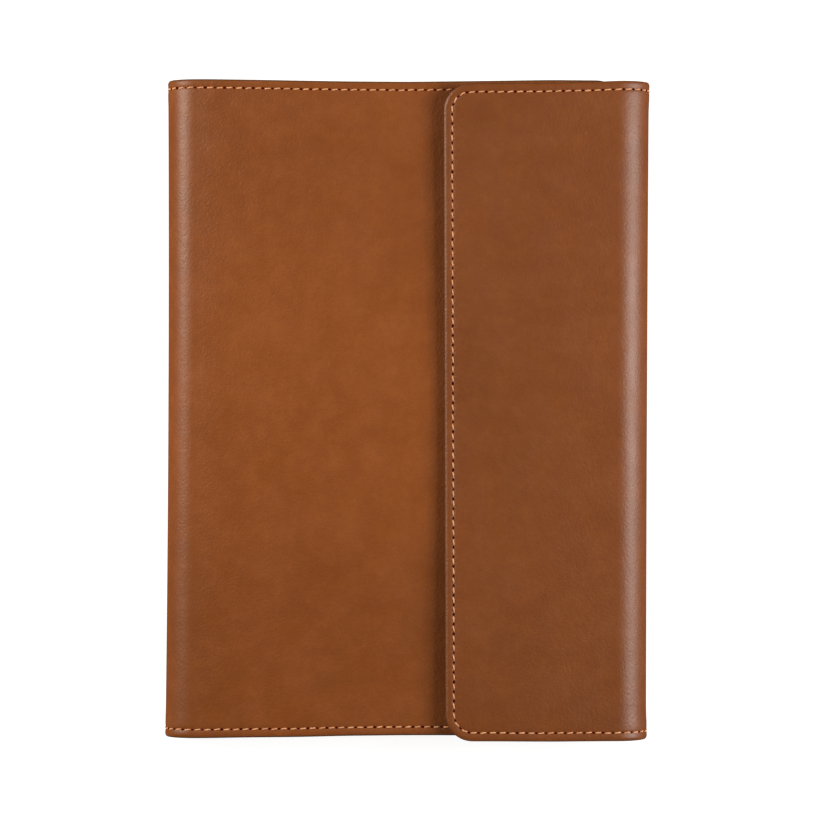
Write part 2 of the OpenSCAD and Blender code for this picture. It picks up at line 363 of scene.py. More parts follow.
class Nodes:
    """A material's node tree, with short ways to add what the materials here share."""

    def __init__(self, name):
        self.material = bpy.data.materials.new(name)
        self.material.use_nodes = True
        self.tree = self.material.node_tree
        self.shader = self.tree.nodes["Principled BSDF"]

    def add(self, kind, **settings):
        node = self.tree.nodes.new(kind)
        for key, value in settings.items():
            setattr(node, key, value)
        return node

    def link(self, source, target):
        self.tree.links.new(source, target)

    def feed(self, socket, value):
        """Sets a socket to a number or a colour, or links it to another node's output."""
        if isinstance(value, (int, float)):
            socket.default_value = value
        elif isinstance(value, tuple):
            socket.default_value = (*value, 1)
        else:
            self.link(value, socket)

    def coords(self, stretch=(1, 1, 1), uv=True):
        """Where a texture is: on the flat hide, along s and y, or in the object's own space."""
        mapping = self.add("ShaderNodeMapping")
        mapping.inputs["Scale"].default_value = stretch
        if uv:
            self.link(self.add("ShaderNodeUVMap", uv_map="hide").outputs["UV"], mapping.inputs["Vector"])
        else:
            self.link(self.add("ShaderNodeTexCoord").outputs["Object"], mapping.inputs["Vector"])
        return mapping.outputs["Vector"]

    def axes(self, vector):
        node = self.add("ShaderNodeSeparateXYZ")
        self.link(vector, node.inputs[0])
        return node.outputs["X"], node.outputs["Y"]

    def noise(self, vector, scale, detail=3.0, roughness=0.55, distortion=0.0):
        node = self.add("ShaderNodeTexNoise")
        self.link(vector, node.inputs["Vector"])
        node.inputs["Scale"].default_value = scale
        node.inputs["Detail"].default_value = detail
        node.inputs["Roughness"].default_value = roughness
        node.inputs["Distortion"].default_value = distortion
        return node.outputs["Fac"]

    def cells(self, vector, scale, feature="F1"):
        node = self.add("ShaderNodeTexVoronoi", feature=feature)
        self.link(vector, node.inputs["Vector"])
        node.inputs["Scale"].default_value = scale
        return node.outputs["Distance"]

    def ramp(self, value, start, end, out_start=0.0, out_end=1.0):
        """A smooth step: out_start until value reaches start, and out_end from end on."""
        node = self.add("ShaderNodeMapRange", interpolation_type="SMOOTHSTEP")
        self.link(value, node.inputs["Value"])
        limits = {"From Min": start, "From Max": end, "To Min": out_start, "To Max": out_end}
        for key, number in limits.items():
            node.inputs[key].default_value = number
        return node.outputs["Result"]

    def math(self, operation, a, b):
        node = self.add("ShaderNodeMath", operation=operation)
        for socket, value in zip(node.inputs, (a, b)):
            self.feed(socket, value)
        return node.outputs[0]

    def mix(self, factor, a, b):
        node = self.add("ShaderNodeMix", data_type="RGBA")
        for key, value in (("Factor", factor), ("A", a), ("B", b)):
            self.feed(next(i for i in node.inputs if i.name == key and i.enabled), value)
        return next(o for o in node.outputs if o.enabled)

    def bump(self, height, distance, normal=None, strength=1.0):
        node = self.add("ShaderNodeBump")
        node.inputs["Distance"].default_value = distance
        node.inputs["Strength"].default_value = strength
        self.link(height, node.inputs["Height"])
        if normal is not None:
            self.link(normal, node.inputs["Normal"])
        return node.outputs["Normal"]

    def out(self, color, roughness, normal=None, **others):
        """The finished material. others are more of the shader's inputs, with _ for each space."""
        inputs = {"Base Color": color, "Roughness": roughness}
        if normal is not None:
            inputs["Normal"] = normal
        inputs.update({key.replace("_", " "): value for key, value in others.items()})
        for key, value in inputs.items():
            self.feed(self.shader.inputs[key], value)
        return self.material


def leather_material(name, base, dark, light, rough=(0.40, 0.46), grain=1.25):
    """Smooth full-grain leather: cloudy dye, fine pebble grain, pores and faint wrinkles."""
    n = Nodes(name)
    hide = n.coords()
    along, up = n.axes(hide)
    clouds = n.noise(n.coords((1.0, 0.6, 1.0)), 26, 3, 0.5)
    mottle = n.noise(hide, 150, 4, 0.6)
    flecks = n.noise(n.coords((1.0, 0.7, 1.0)), 430, 3, 0.6)
    speck = n.noise(hide, 1500, 2, 0.6)
    color = n.mix(n.ramp(clouds, 0.30, 0.70), dark, base)
    color = n.mix(n.ramp(mottle, 0.36, 0.70, 0.0, 0.60), color, light)
    color = n.mix(n.ramp(flecks, 0.42, 0.72, 0.0, 0.55), color, dark)
    color = n.mix(n.ramp(speck, 0.50, 0.80, 0.0, 0.45), color, light)
    # The leather is a little darker at the head, at the tail, by the spine and all over the flap
    tail_darkening = n.ramp(up, -75 * MM, -15 * MM, 0.87, 1.0)
    head_darkening = n.ramp(up, 25 * MM, 95 * MM, 1.0, 0.91)
    spine_darkening = n.ramp(along, -SPINE_ARC - 26 * MM, -SPINE_ARC, 1.0, 0.95)
    front_darkening_and_shadow = n.math("MULTIPLY", n.math("MULTIPLY", tail_darkening, head_darkening), spine_darkening)
    # Painted shadow: the front is also a little darker in a band along the flap's free edge, deepening the
    # flap's cast shadow beside it
    flap_edge_along = SPINE_X - SPINE_ARC - FLAP_EDGE
    covered_side = n.ramp(along, flap_edge_along - 12 * MM, flap_edge_along - MM)
    open_side = n.ramp(along, flap_edge_along, flap_edge_along + 10 * MM, 0.21, 0.0)
    painted_flap_shadow = n.math("MULTIPLY", covered_side, open_side)
    front_darkening_and_shadow = n.math("MULTIPLY", front_darkening_and_shadow, n.math("SUBTRACT", 1.0, painted_flap_shadow))
    flap_darkening = n.ramp(up, -HALF_H, -30 * MM, 0.73, 0.785)
    on_flap = n.ramp(along, S_BACK_END, S_FLAP + 12 * MM)
    # The front's darkening, with its painted flap shadow, gives way to the flap's darkening over the fold
    darkening_and_shadow = n.math("ADD", front_darkening_and_shadow, n.math("MULTIPLY", n.math("SUBTRACT", flap_darkening, front_darkening_and_shadow), on_flap))
    # Soft patches, about a fingertip wide, took a little more or less dye
    patchy = n.ramp(n.noise(hide, 62, 2, 0.5), 0.35, 0.65, 0.945, 1.0)
    color = n.mix(n.math("MULTIPLY", darkening_and_shadow, patchy), (0.0, 0.0, 0.0), color)
    # The grain: pebbles with fine creases between them, and pores
    pebble = n.cells(hide, 1150, "SMOOTH_F1")
    fine = n.noise(hide, 3200, 2, 0.6)
    pores = n.cells(hide, 520)
    # Wrinkles: long soft folds of the grain that show only in places
    folds = n.noise(n.coords((1.0, 0.28, 1.0)), 420, 3, 0.55, 0.6)
    patches = n.ramp(n.noise(hide, 34, 2, 0.5), 0.56, 0.72)
    height = n.math("MULTIPLY", n.ramp(pebble, 0.05, 0.6), 0.55)
    height = n.math("ADD", height, n.math("MULTIPLY", fine, 0.35))
    height = n.math("ADD", height, n.math("MULTIPLY", n.ramp(pores, 0.06, 0.22), 0.30))
    height = n.math("ADD", height, n.math("MULTIPLY", n.math("MULTIPLY", folds, patches), 0.13))
    # The grain is flatter where the leather is stretched over the spine and the fold
    from_fold = n.math("ABSOLUTE", n.math("SUBTRACT", along, S_MID_FOLD), 0.0)
    over_spine = n.ramp(n.math("ABSOLUTE", along, 0.0), SPINE_ARC - MM, SPINE_ARC + 5 * MM, 0.5, 1.0)
    over_fold = n.ramp(from_fold, FOLD_ARC / 2 - MM, FOLD_ARC / 2 + 5 * MM, 0.6, 1.0)
    height = n.math("MULTIPLY", height, n.math("MULTIPLY", over_spine, over_fold))
    # Under the grain the leather is softly uneven
    soft = n.bump(n.noise(hide, 95, 2, 0.5), 0.30 * MM, strength=0.45)
    normal = n.bump(height, 0.07 * MM * grain, normal=soft)
    roughness = n.ramp(n.noise(hide, 60, 4, 0.6), 0.3, 0.7, rough[0], rough[1])
    # The flap's side of the hide is also a little drier
    dryness = n.ramp(along, S_BACK_END, S_MID_FOLD, 0.0, 0.03)
    roughness = n.math("ADD", roughness, dryness)
    return n.out(color, roughness, normal, Specular_IOR_Level=0.52)


def edge_material():
    """The cut edge: darker than the grain side and burnished, with the fibres just showing."""
    n = Nodes("waxed_edge")
    place_at = n.coords(uv=False)
    fibre = n.noise(place_at, 900, 3, 0.6)
    streak = n.noise(place_at, 160, 3, 0.6)
    color = n.mix(n.ramp(fibre, 0.35, 0.7), (0.090, 0.030, 0.0080), (0.130, 0.046, 0.013))
    color = n.mix(n.ramp(streak, 0.45, 0.75, 0, 0.5), color, (0.070, 0.022, 0.006))
    roughness = n.ramp(fibre, 0.3, 0.7, 0.55, 0.68)
    return n.out(color, roughness, n.bump(fibre, 0.03 * MM), Specular_IOR_Level=0.22)


def suede_material():
    """The brushed lining: short nap that lies this way and that in strokes."""
    n = Nodes("suede_lining")
    hide = n.coords()
    nap = n.noise(hide, 2600, 3, 0.7)
    tufts = n.noise(hide, 620, 4, 0.65)
    strokes = n.noise(n.coords((1.0, 0.35, 1.0)), 48, 3, 0.6, 0.8)
    color = n.mix(n.ramp(strokes, 0.35, 0.65), (0.105, 0.048, 0.023), (0.140, 0.068, 0.033))
    color = n.mix(n.ramp(tufts, 0.40, 0.70, 0, 0.55), color, (0.082, 0.036, 0.017))
    color = n.mix(n.ramp(nap, 0.42, 0.75, 0, 0.55), color, (0.190, 0.100, 0.052))
    height = n.math("ADD", n.math("MULTIPLY", tufts, 0.8), n.math("MULTIPLY", nap, 0.6))
    return n.out(color, 0.95, n.bump(height, 0.22 * MM), Sheen_Weight=0.18, Sheen_Roughness=0.5,
                 Specular_IOR_Level=0.12)


def thread_material():
    n = Nodes("waxed_thread")
    place_at = n.coords(uv=False)
    fuzz = n.noise(place_at, 5200, 2, 0.6)
    shade = n.noise(place_at, 240, 3, 0.6)
    color = n.mix(n.ramp(shade, 0.3, 0.7), (0.62, 0.262, 0.112), (0.80, 0.385, 0.180))
    color = n.mix(n.ramp(fuzz, 0.45, 0.8, 0, 0.30), color, (0.34, 0.135, 0.045))
    return n.out(color, n.ramp(fuzz, 0.3, 0.7, 0.42, 0.6), n.bump(fuzz, 0.05 * MM), Sheen_Weight=0.15)


def hole_shade_material():
    # Painted shade: the near-black red stands in for the shadow down each needle hole, varied a little from
    # place to place
    n = Nodes("painted_hole_shade")
    shade_variation = n.noise(n.coords(uv=False), 2500, 2)
    color = n.mix(n.ramp(shade_variation, 0.3, 0.7), (0.038, 0.003, 0.001), (0.062, 0.006, 0.002))
    return n.out(color, 1.0, Specular_IOR_Level=0.0)


def paper_face_material():
    """Ivory paper with faint ruled lines and a margin of bare paper."""
    n = Nodes("ruled_paper")
    sheet = n.coords()
    _, up = n.axes(sheet)
    line_pitch, ruled = 7.1 * MM, 89.0 * MM
    line = n.ramp(n.math("PINGPONG", up, line_pitch / 2), 0.10 * MM, 0.22 * MM, 1.0, 0.0)
    inside = n.ramp(n.math("ABSOLUTE", up, 0.0), ruled, ruled + 0.2 * MM, 1.0, 0.0)
    line = n.math("MULTIPLY", line, inside)
    fibre = n.noise(sheet, 1600, 4, 0.7)
    tone = n.noise(sheet, 30, 3)
    color = n.mix(n.ramp(tone, 0.3, 0.7), (0.82, 0.76, 0.63), (0.84, 0.785, 0.655))
    color = n.mix(n.ramp(fibre, 0.5, 0.8, 0, 0.25), color, (0.78, 0.71, 0.57))
    color = n.mix(n.math("MULTIPLY", line, 0.5), color, (0.36, 0.40, 0.46))
    return n.out(color, 0.85, n.bump(fibre, 0.03 * MM), Specular_IOR_Level=0.25)


def paper_edge_material():
    n = Nodes("paper_edges")
    place_at = n.coords(uv=False)
    layers = n.noise(n.coords((0.012, 0.012, 1.0), uv=False), 9000, 2, 0.6)
    tone = n.noise(place_at, 60, 3)
    color = n.mix(n.ramp(layers, 0.3, 0.7), (0.62, 0.55, 0.42), (0.85, 0.79, 0.66))
    color = n.mix(n.ramp(tone, 0.4, 0.7, 0, 0.3), color, (0.74, 0.67, 0.53))
    return n.out(color, 0.9, n.bump(layers, 0.08 * MM), Specular_IOR_Level=0.2)


def card_material():
    n = Nodes("notebook_card")
    place_at = n.coords(uv=False)
    tooth = n.noise(place_at, 1900, 3, 0.7)
    tone = n.noise(place_at, 45, 3)
    color = n.mix(n.ramp(tone, 0.3, 0.7), (0.020, 0.016, 0.014), (0.030, 0.024, 0.021))
    return n.out(color, n.ramp(tooth, 0.3, 0.7, 0.5, 0.65), n.bump(tooth, 0.06 * MM))


def cloth_tape_material():
    n = Nodes("book_cloth")
    place_at = n.coords(uv=False)
    threads = []
    for direction in ("Y", "Z"):
        wave = n.add("ShaderNodeTexWave", wave_type="BANDS", bands_direction=direction)
        n.link(place_at, wave.inputs["Vector"])
        wave.inputs["Scale"].default_value = 1400
        threads.append(wave.outputs["Fac"])
    cross = n.math("MULTIPLY", *threads)
    color = n.mix(cross, (0.030, 0.015, 0.010), (0.075, 0.040, 0.026))
    return n.out(color, 0.85, n.bump(cross, 0.10 * MM), Sheen_Weight=0.1)


def board_material():
    n = Nodes("grey_board")
    fibre = n.noise(n.coords(uv=False), 800, 4, 0.7)
    color = n.mix(n.ramp(fibre, 0.3, 0.7), (0.28, 0.22, 0.16), (0.38, 0.31, 0.23))
    return n.out(color, 0.9, n.bump(fibre, 0.08 * MM))


def metal_material(name, color_low, color_high, scale):
    n = Nodes(name)
    brushed = n.noise(n.coords((1, 0.03, 1), uv=False), scale, 3, 0.6)
    color = n.mix(n.ramp(brushed, 0.3, 0.7), color_low, color_high)
    return n.out(color, n.ramp(brushed, 0.3, 0.7, 0.25, 0.4), n.bump(brushed, 0.02 * MM), Metallic=1.0)


LEATHER = leather_material("tan_leather", (0.253, 0.0645, 0.0074), (0.223, 0.0550, 0.0055),
                           (0.281, 0.0758, 0.0106))
SLEEVE_LEATHER = leather_material("sleeve_leather", (0.215, 0.062, 0.018), (0.180, 0.049, 0.014),
                                  (0.240, 0.072, 0.022), rough=(0.46, 0.58), grain=0.8)
EDGE = edge_material()
SUEDE = suede_material()
THREAD = thread_material()
HOLE_SHADE = hole_shade_material()
PAPER = paper_face_material()
PAPER_EDGE = paper_edge_material()
CARD = card_material()
TAPE = cloth_tape_material()
BOARD = board_material()
NICKEL = metal_material("nickel_plate", (0.60, 0.59, 0.57), (0.72, 0.71, 0.68), 1500)
STEEL = metal_material("steel_plate", (0.42, 0.42, 0.43), (0.55, 0.55, 0.56), 1200)


# ---------------------------------------------------------------- leather and lining

def build_leather(panel):
    grid = PANELS[panel]
    outer = bevel(grid.near) + stitch_bed(grid.near)
    inner = D_LEATHER - quarter_round(grid.near, 0.5 * MM, 0.42 * D_LEATHER)
    # The darker band along the cut edge is wider on the front
    dark_edge_width = 0.5 * MM if panel == "front" else 0.3 * MM
    obj = closed_shell(panel + "_leather_panel", grid.s, grid.y, outer, inner, [LEATHER, EDGE],
                       edge_faces=grid.near < dark_edge_width)
    bend_with(obj, panel)
    return obj


def skive(s):
    """How much thinner the lining is where it turns with the spine, so that it clears the open pages."""
    return 0.32 * MM * (1 - smooth(np.abs(s), SPINE_ARC, 1.35 * SPINE_ARC))


def lining_depth(s, near):
    """Depth of the lining's inner side. It rises over the stiffener boards of the front and the back."""
    front = smooth(-s, SPINE_ARC + 1.5 * MM, SPINE_ARC + 4 * MM)
    back = smooth(s, SPINE_ARC + 1.5 * MM, SPINE_ARC + 4 * MM)
    back = back * (1 - smooth(s, S_BACK_END - 4 * MM, S_BACK_END - 1.5 * MM))
    raised = (front + back) * smooth(near, 3.6 * MM, 6.5 * MM)
    bed = 0.6 * stitch_bed(near)
    return D_LINING + (D_RAISED - D_LINING) * raised - bed * (1 - 0.5 * raised) - skive(s)


def build_lining(panel):
    grid = PANELS[panel]
    near = grid.near
    outer = D_LEATHER + quarter_round(near, 0.25 * MM, 0.2 * MM)
    inner = lining_depth(grid.s, near) - quarter_round(near, 0.35 * MM, 0.25 * MM)
    obj = closed_shell(panel + "_suede_lining", grid.s, grid.y, outer, inner, [SUEDE])
    bend_with(obj, panel)
    return obj


REPLACED = {
    "front": ("front_cover_leather", "spine_leather"),
    "back_left": ("back_cover_leather", "spine_leather"),
    "back_right": ("back_cover_leather", "fold_leather"),
    "flap": ("flap_leather", "fold_leather"),
}
for panel, nodes in REPLACED.items():
    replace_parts(build_leather(panel), *nodes)
    linings = [n.replace("cover_leather", "lining").replace("leather", "lining") for n in nodes]
    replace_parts(build_lining(panel), *linings)


# ---------------------------------------------------------------- stitching

def border_lengths(panel):
    """Lengths of a bordered panel's stitch line: along one end, round one corner and up its free edge."""
    seam = 0.0 if panel == "front" else S_MID_FOLD
    end = abs(seam - PANELS[panel].free) - CORNER_R
    return end, (CORNER_R - STITCH_IN) * math.pi / 2, 2 * (HALF_H - CORNER_R)


def border_path(panel, t):
    """The stitch line of a panel with a free edge: from the tail end of its seam, round both free
    corners, to the head end. Gives s and y at length t, which may run past either end."""
    end, arc, column = border_lengths(panel)
    bend = CORNER_R - STITCH_IN
    half, corner_y = HALF_H - STITCH_IN, HALF_H - CORNER_R
    t = np.asarray(t, float)
    marks = np.cumsum([end, arc, column, arc])
    a1, a2 = (t - marks[0]) / bend, (t - marks[2]) / bend
    cases = [t < mark for mark in marks]
    p = np.select(cases, [end + CORNER_R - t, CORNER_R - bend * np.sin(a1), STITCH_IN + 0 * t,
                          CORNER_R - bend * np.cos(a2)], CORNER_R + t - marks[3])
    y = np.select(cases, [-half + 0 * t, -corner_y - bend * np.cos(a1), t - marks[1] - corner_y,
                          corner_y + bend * np.sin(a2)], half + 0 * t)
    side = 1 if panel == "front" else -1
    return PANELS[panel].free + side * p, y


def stitch_rows(panel):
    """Each row as (function from length to s and y, lengths of its needle holes)."""
    if PANELS[panel].free is not None:
        end, arc, column = border_lengths(panel)
        length = 2 * (end + arc) + column
        count = round(length / PITCH)
        # One more stitch at each end crosses the seam
        return [(lambda t: border_path(panel, t), (np.arange(-1, count + 1) + 0.5) * length / count)]
    start, end = (0.0, S_MID_BACK) if panel == "back_left" else (S_MID_BACK, S_MID_FOLD)
    count = round((end - start) / PITCH)
    # The left half has the stitch that crosses to the right half
    last = count + 1 if panel == "back_left" else count
    holes = start + (np.arange(0, last) + 0.5) * (end - start) / count
    half = HALF_H - STITCH_IN
    # Both rows run the same way round the cover as the borders do
    head_row = (lambda t: (t, 0 * t + half), holes)
    tail_row = (lambda t: (start + end - t, 0 * t - half), start + end - holes[::-1])
    return [head_row, tail_row]


def unit(v):
    return v / np.maximum(np.linalg.norm(v, axis=-1, keepdims=True), 1e-12)


def surface_frame(path, t, depth, inward):
    """Centre points, directions along the row, sideways directions and normals on one side of a panel."""
    step = 0.05 * MM
    s, y = path(t)
    s1, y1 = path(t + step)
    s0, y0 = path(t - step)
    level = depth(s)
    centre = place(s, y, level)
    along = unit(place(s1, y1, level) - place(s0, y0, level))
    _, _, nx, nz = section(s)
    normal = np.stack([nx, 0 * nx, nz], -1) * (-1 if inward else 1)
    side = unit(np.cross(normal, along))
    return centre, along, side, normal


def thread_rows(path, holes, depth, inward, radius):
    """Twisted stitches from hole to hole, as vertices and faces."""
    rings, around = 11, 10
    starts, ends = holes[:-1], holes[1:]
    count = len(starts)
    # Rings along a stitch, closer together at its ends
    t01 = np.linspace(0, 1, rings)
    t01 = 0.5 - 0.5 * np.cos(math.pi * t01) * (0.75 + 0.25 * np.abs(np.cos(math.pi * t01)))
    t01 = (t01 - t01[0]) / (t01[-1] - t01[0])
    jitter = RNG.normal(0, 0.06 * MM, (count, 2))
    # It comes out a little past one hole's middle and goes in a little before the next one's
    t = starts[:, None] + (ends - starts)[:, None] * (0.17 + 0.66 * t01)[None, :]
    centre, _, side, normal = surface_frame(path, t, depth, inward)
    rise = np.clip(np.sin(math.pi * t01), 0, 1) ** 0.55
    height = (-1.15 + rise * (1.85 + 0.07 * RNG.normal(0, 1, (count, 1)))) * radius
    # It lies slightly aslant, and no two are quite alike
    slant = (t01[None, :] - 0.5) * (0.26 * MM) + jitter[:, :1] * (1 - t01) + jitter[:, 1:] * t01
    centre = centre + normal * height[..., None] + side * slant[..., None]
    # Two strands twist together, so its section has two lobes that turn along it
    phi = np.linspace(0, 2 * math.pi, around, endpoint=False)
    twist = 2 * math.pi * (1.15 * t01[None, :, None] + RNG.random((count, 1, 1)))
    lobe = 1 + 0.13 * np.cos(2 * (phi[None, None, :] - twist))
    swell = (0.72 + 0.28 * np.sin(math.pi * t01))[None, :, None]
    r = radius * lobe * swell
    ring = (side[:, :, None, :] * (np.cos(phi)[None, None, :] * r)[..., None]
            + normal[:, :, None, :] * (np.sin(phi)[None, None, :] * r * 0.9)[..., None])
    verts = (centre[:, :, None, :] + ring).reshape(-1, 3)
    i, j = np.meshgrid(np.arange(rings - 1), np.arange(around), indexing="ij")
    a, b = i * around + j, i * around + (j + 1) % around
    quads = np.stack([a, b, b + around, a + around], -1).reshape(-1, 4)
    each = np.arange(count)[:, None, None] * rings * around
    quads = (quads[None] + each).reshape(-1, 4)
    first = [list(np.arange(around)[::-1] + k * rings * around) for k in range(count)]
    last = [list(np.arange(around) + (rings - 1) * around + k * rings * around) for k in range(count)]
    return verts, [list(q) for q in quads] + first + last


def hole_shade_dots(path, holes, depth, inward):
    """A dimple at each needle hole, just over the surface. Its dark colour is painted shade, standing in for
    the hole's depth.
    """
    around, lift = 12, 0.03 * MM
    half_long, half_wide = 0.46 * MM, 0.38 * MM
    phi = np.linspace(0, 2 * math.pi, around, endpoint=False)
    centre, along, side, normal = surface_frame(path, holes, depth, inward)
    size = 1 + 0.12 * RNG.normal(0, 1, (len(holes), 1, 1))
    # The dimple follows the stitch bed across the row
    off = np.sin(phi) * half_wide
    sink = (stitch_bed(STITCH_IN + off) - stitch_bed(STITCH_IN))[None, :, None] * (0.6 if inward else 1)
    rim = (along[:, None, :] * (np.cos(phi) * half_long)[None, :, None] * size
           + side[:, None, :] * off[None, :, None] * size
           - normal[:, None, :] * (sink - lift))
    verts = (centre[:, None, :] + rim).reshape(-1, 3)
    middle = centre + normal * lift * 0.4
    verts = np.concatenate([verts, middle])
    faces = []
    for k in range(len(holes)):
        hub = len(holes) * around + k
        faces += [(k * around + j, k * around + (j + 1) % around, hub) for j in range(around)]
    return verts, faces


def join_parts(parts):
    verts, faces, base = [], [], 0
    for v, f in parts:
        verts.append(v)
        faces += [[i + base for i in face] for face in f]
        base += len(v)
    return np.concatenate(verts), faces


def outer_bed(s):
    """Depth of the grain side's stitch line."""
    return 0 * s + stitch_bed(STITCH_IN)


def sleeve_top(s, near_sides, near_end):
    """Depth of a sleeve's inner face, which rises off its seams over the notebook's cover."""
    rise = np.minimum(smooth(near_sides, 3.4 * MM, 9.5 * MM), smooth(near_end, 3.2 * MM, 6.0 * MM))
    return D_LINING + SLEEVE_T + (D_CARD - D_LINING) * rise


def inner_bed(s):
    """Depth of the inner side's stitch line: on the lining, or on a sleeve where there is one."""
    bed = 0.6 * stitch_bed(STITCH_IN)
    sleeve = ((s < -SPINE_ARC) | ((s > SPINE_ARC) & (s < S_BACK_END))) & (section(s)[0] > SLEEVE_X)
    return D_LINING + np.where(sleeve, SLEEVE_T - 2 * bed, -bed) - skive(s)


THREADS = {
    "front": ("front_thread", "spine_thread"),
    "back_left": ("back_thread", "spine_thread"),
    "back_right": ("back_thread", "fold_thread"),
    "flap": ("flap_thread", "fold_thread"),
}


def build_stitches(panel):
    threads, dots = [], []
    for path, holes in stitch_rows(panel):
        threads.append(thread_rows(path, holes, outer_bed, False, THREAD_R))
        threads.append(thread_rows(path, holes, inner_bed, True, THREAD_R * 0.92))
        dots.append(hole_shade_dots(path, holes, outer_bed, False))
        dots.append(hole_shade_dots(path, holes, inner_bed, True))
    verts, faces = join_parts(threads)
    thread = new_mesh(panel + "_stitches", verts, faces, materials=[THREAD])
    bend_with(thread, panel)
    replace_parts(thread, *THREADS[panel])
    # Dimples at the needle holes, darkened with painted shade
    verts, faces = join_parts(dots)
    dimples = new_mesh(panel + "_painted_hole_shades", verts, faces, materials=[HOLE_SHADE])
    bend_with(dimples, panel)


for panel in PANELS:
    build_stitches(panel)


# ---------------------------------------------------------------- sleeves

def build_sleeve(body, s_outer, s_open):
    """A leather sleeve from its seam at s_outer to its open edge at s_open."""
    steps = edge_steps()
    side = 1 if s_open > s_outer else -1
    length = abs(s_open - s_outer)
    lip = [length - e for e in (3.2 * MM, 2.2 * MM, 1.6 * MM, 1.1 * MM, 0.5 * MM, 0.2 * MM, 0.05 * MM, 0.0)]
    p_rows = np.concatenate([steps, spread(steps[-1], length - 3.6 * MM, 3 * MM), lip])
    p, y = np.meshgrid(p_rows, y_rows(), indexing="ij")
    to_lip = length - p
    near_end, near_sides = p, HALF_H - np.abs(y)
    near = np.minimum(p, near_sides)
    if body == "front":
        p, y, near = round_corners(p, y)
    s = s_outer + side * p
    top = sleeve_top(s, near_sides, near_end)
    # The open edge is skived thin, and a crease runs along it
    crease = 0.18 * MM * np.exp(-((to_lip - 1.9 * MM) / (0.35 * MM)) ** 2)
    bed = 1.2 * stitch_bed(near) * (near < 8 * MM)
    inner = top - crease - bed
    inner = inner - quarter_round(near, 0.45 * MM, 0.35 * MM) - quarter_round(to_lip, 0.45 * MM, 0.35 * MM)
    outer = top - SLEEVE_T
    outer = outer + quarter_round(near, 0.3 * MM, 0.2 * MM) + quarter_round(to_lip, 0.3 * MM, 0.25 * MM)
    # Its seam edge stays a little inside the cover's own edge
    inset = 0.12 * MM
    s = np.where(p < 1 * MM, s + side * inset * (1 - p / MM), s)
    obj = closed_shell(body + "_sleeve_pocket", s, y, outer, inner, [SLEEVE_LEATHER, EDGE],
                       edge_faces=(near < 0.2 * MM) | (to_lip < 0.3 * MM))
    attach(obj, body)
    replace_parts(obj, body + "_sleeve")


S_OPEN = SPINE_ARC + SLEEVE_X - SPINE_X
build_sleeve("front", S_FRONT_EDGE, -S_OPEN)
build_sleeve("back", S_BACK_END, S_OPEN)


# ---------------------------------------------------------------- notebook

BOOK_R = 5.0 * MM
BOOK_X = low("notebook_back_cover", 0)
BOOK_EDGE = high("notebook_back_cover", 0)
BOOK_HALF = high("notebook_back_cover", 1)
PAGE_X = low("back_pages", 0)
MID_Z = high("back_pages", 2)
PAGES_D = low("back_pages", 2)
GUTTER = 0.8 * MM


def leaf_outline(x0, x1, half):
    """Rounded at the fore-edge. Points run round the leaf, with extra ones near the spine."""
    near_spine = [x0 + d * MM for d in (0, 1.5, 3.5, 6, 9, 13, 18, 25)]
    xs = near_spine + list(spread(near_spine[-1], x1 - BOOK_R, 24 * MM))
    lower = [(x, -half) for x in xs]
    arc = [math.radians(a) for a in range(-75, 0, 15)]
    corner_x, corner_y = x1 - BOOK_R, BOOK_R - half
    corner_low = [(corner_x + BOOK_R * math.cos(a), corner_y + BOOK_R * math.sin(a)) for a in arc]
    corner_low.append((x1, corner_y))
    fore = [(x1, half * 0.9 * k / 6) for k in range(-5, 6)]
    corner_high = [(x, -y) for x, y in reversed(corner_low)]
    upper = [(x, half) for x in reversed(xs)]
    return np.array(lower + corner_low + fore + corner_high + upper)


def leaf_faces(count):
    """Strips across a leaf with that many points, and a triangle at its fore-edge. They can go straight
    across because its outline is the same at head and tail."""
    half = count // 2
    strips = [(i, i + 1, count - 2 - i, count - 1 - i) for i in range(half - 1)]
    return strips + [(half - 1, half, half + 1)]


def gutter(x):
    """How far the leaves dip towards the back of the book when it lies open."""
    return GUTTER * np.exp(-(x - PAGE_X) / (3.5 * MM))


def page_block(name, sign, body, node):
    """Half of the pages: a stack of gathered leaves, each a thin closed slab. sign is 1 for the back half,
    whose open page faces up, and -1 for the front half, whose open page faces down."""
    leaves = 26
    thickness = MID_Z - PAGES_D
    verts, faces, slots, uvs, base = [], [], [], [], 0
    for k in range(leaves):
        # The leaves don't lie quite flush with each other
        shift = RNG.normal(0, 0.10 * MM, 2)
        edge = BOOK_EDGE - 0.35 * MM + shift[0]
        ring = leaf_outline(PAGE_X, edge, BOOK_HALF - 0.25 * MM - abs(shift[1]))
        count = len(ring)
        fill = thickness - gutter(ring[:, 0])
        top = (k + 0.90) / leaves if k < leaves - 1 else 1.0
        for share in (k / leaves + 0.002, top):
            z = MID_Z - sign * (thickness - fill * share)
            verts.append(np.column_stack([ring, z]))
            uvs.append(ring)
        for i in range(count):
            j = (i + 1) % count
            faces.append((base + i, base + j, base + count + j, base + count + i))
            slots.append(1)
        for face in leaf_faces(count):
            for offset, flip in ((0, True), (count, False)):
                face_here = tuple(base + offset + i for i in face)
                faces.append(face_here[::-1] if flip else face_here)
                slots.append(0 if k == leaves - 1 and not flip else 1)
        base += 2 * count
    verts = np.concatenate(verts)
    if sign < 0:
        faces = [f[::-1] for f in faces]
    obj = new_mesh(name, verts, faces, np.concatenate(uvs), [PAPER, PAPER_EDGE], slots)
    sharpen(obj, 30)
    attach(obj, body)
    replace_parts(obj, node)


page_block("back_page_block", 1, "back", "back_pages")
page_block("front_page_block", -1, "pages", "front_pages")


